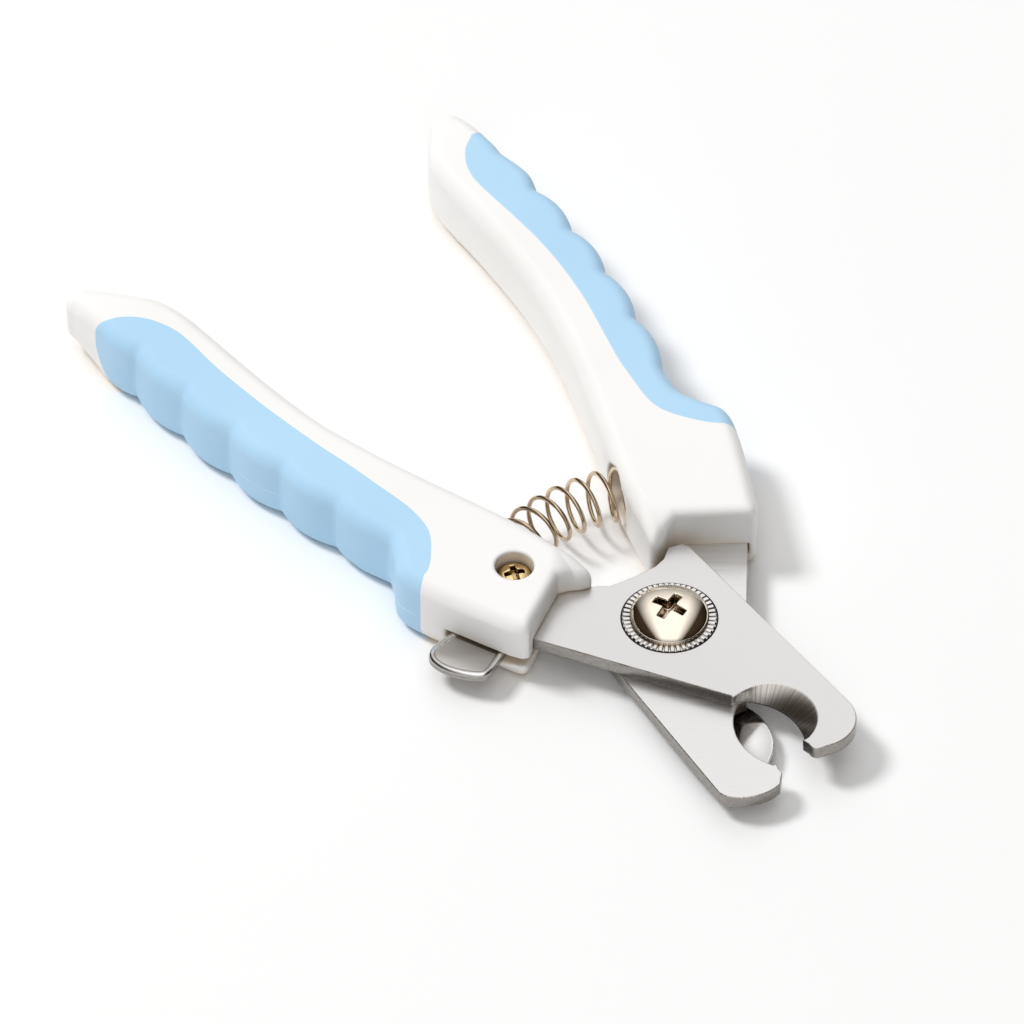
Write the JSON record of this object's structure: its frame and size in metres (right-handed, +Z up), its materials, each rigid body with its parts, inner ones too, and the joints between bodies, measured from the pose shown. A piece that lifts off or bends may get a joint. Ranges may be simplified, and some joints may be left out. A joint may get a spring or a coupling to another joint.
{
  "type": "pet nail trimmer",
  "caption": "Plier-style pet nail trimmer with crossed notched blades on a pivot screw, moulded handles with soft lobed grips, a return spring, a lock lever and a swing-out nail guard.",
  "frame": {"origin": "middle of the footprint, on the surface that the trimmer lies on", "axes": "+X from the handle tails towards the jaws, +Y towards the right handle as seen from the jaws, +Z up along the pivot screw"},
  "size_m": [0.1305, 0.0668, 0.0111],
  "materials": {
    "handle_plastic": "satin, softly rounded",
    "soft_grip": "smooth matt",
    "blade_steel": "fine ground",
    "bright_steel": "polished",
    "plated_head": "polished pale gold plating",
    "spring_steel": "bright drawn wire",
    "insert_brass": "plain"
  },
  "bodies": {
    "left_side": {"left_handle_top_shell": "handle_plastic", "left_handle_bottom_shell": "handle_plastic", "left_grip_top": "soft_grip", "left_grip_bottom": "soft_grip", "upper_blade": "blade_steel", "pivot_screw": "plated_head", "pivot_bush": "bright_steel", "pivot_washer": "bright_steel", "pivot_nut": "bright_steel", "return_spring": "spring_steel", "lever_bush": "bright_steel", "left_handle_screw": "plated_head", "left_handle_insert": "insert_brass"},
    "right_side": {"right_handle_top_shell": "handle_plastic", "right_handle_bottom_shell": "handle_plastic", "right_grip_top": "soft_grip", "right_grip_bottom": "soft_grip", "lower_blade": "blade_steel", "right_handle_screw": "plated_head", "right_handle_insert": "insert_brass", "guard_screw": "bright_steel", "guard_washer": "bright_steel"},
    "lock": {"lock_lever": "bright_steel"},
    "guard": {"guard_plate": "bright_steel"}
  },
  "joints": [
    {"name": "handle_pivot", "type": "hinge", "parent": "left_side", "child": "right_side", "pos_m": [0.0325, 0.0009, 0.0046], "axis": [0, 0, 1], "range_deg": [0, 20], "stiffness_Nm_per_rad": 1.2, "springref_deg": -20.05, "deforming": ["return_spring"]},
    {"name": "lever_swing", "type": "hinge", "parent": "left_side", "child": "lock", "pos_m": [0.0155, -0.0131, 0.0046], "axis": [0, 0, 1], "range_deg": [0, 15]},
    {"name": "guard_swing", "type": "hinge", "parent": "right_side", "child": "guard", "pos_m": [0.0413, -0.0043, 0.0022], "axis": [0, 0, 1], "range_deg": [-65, 0]}
  ]
}
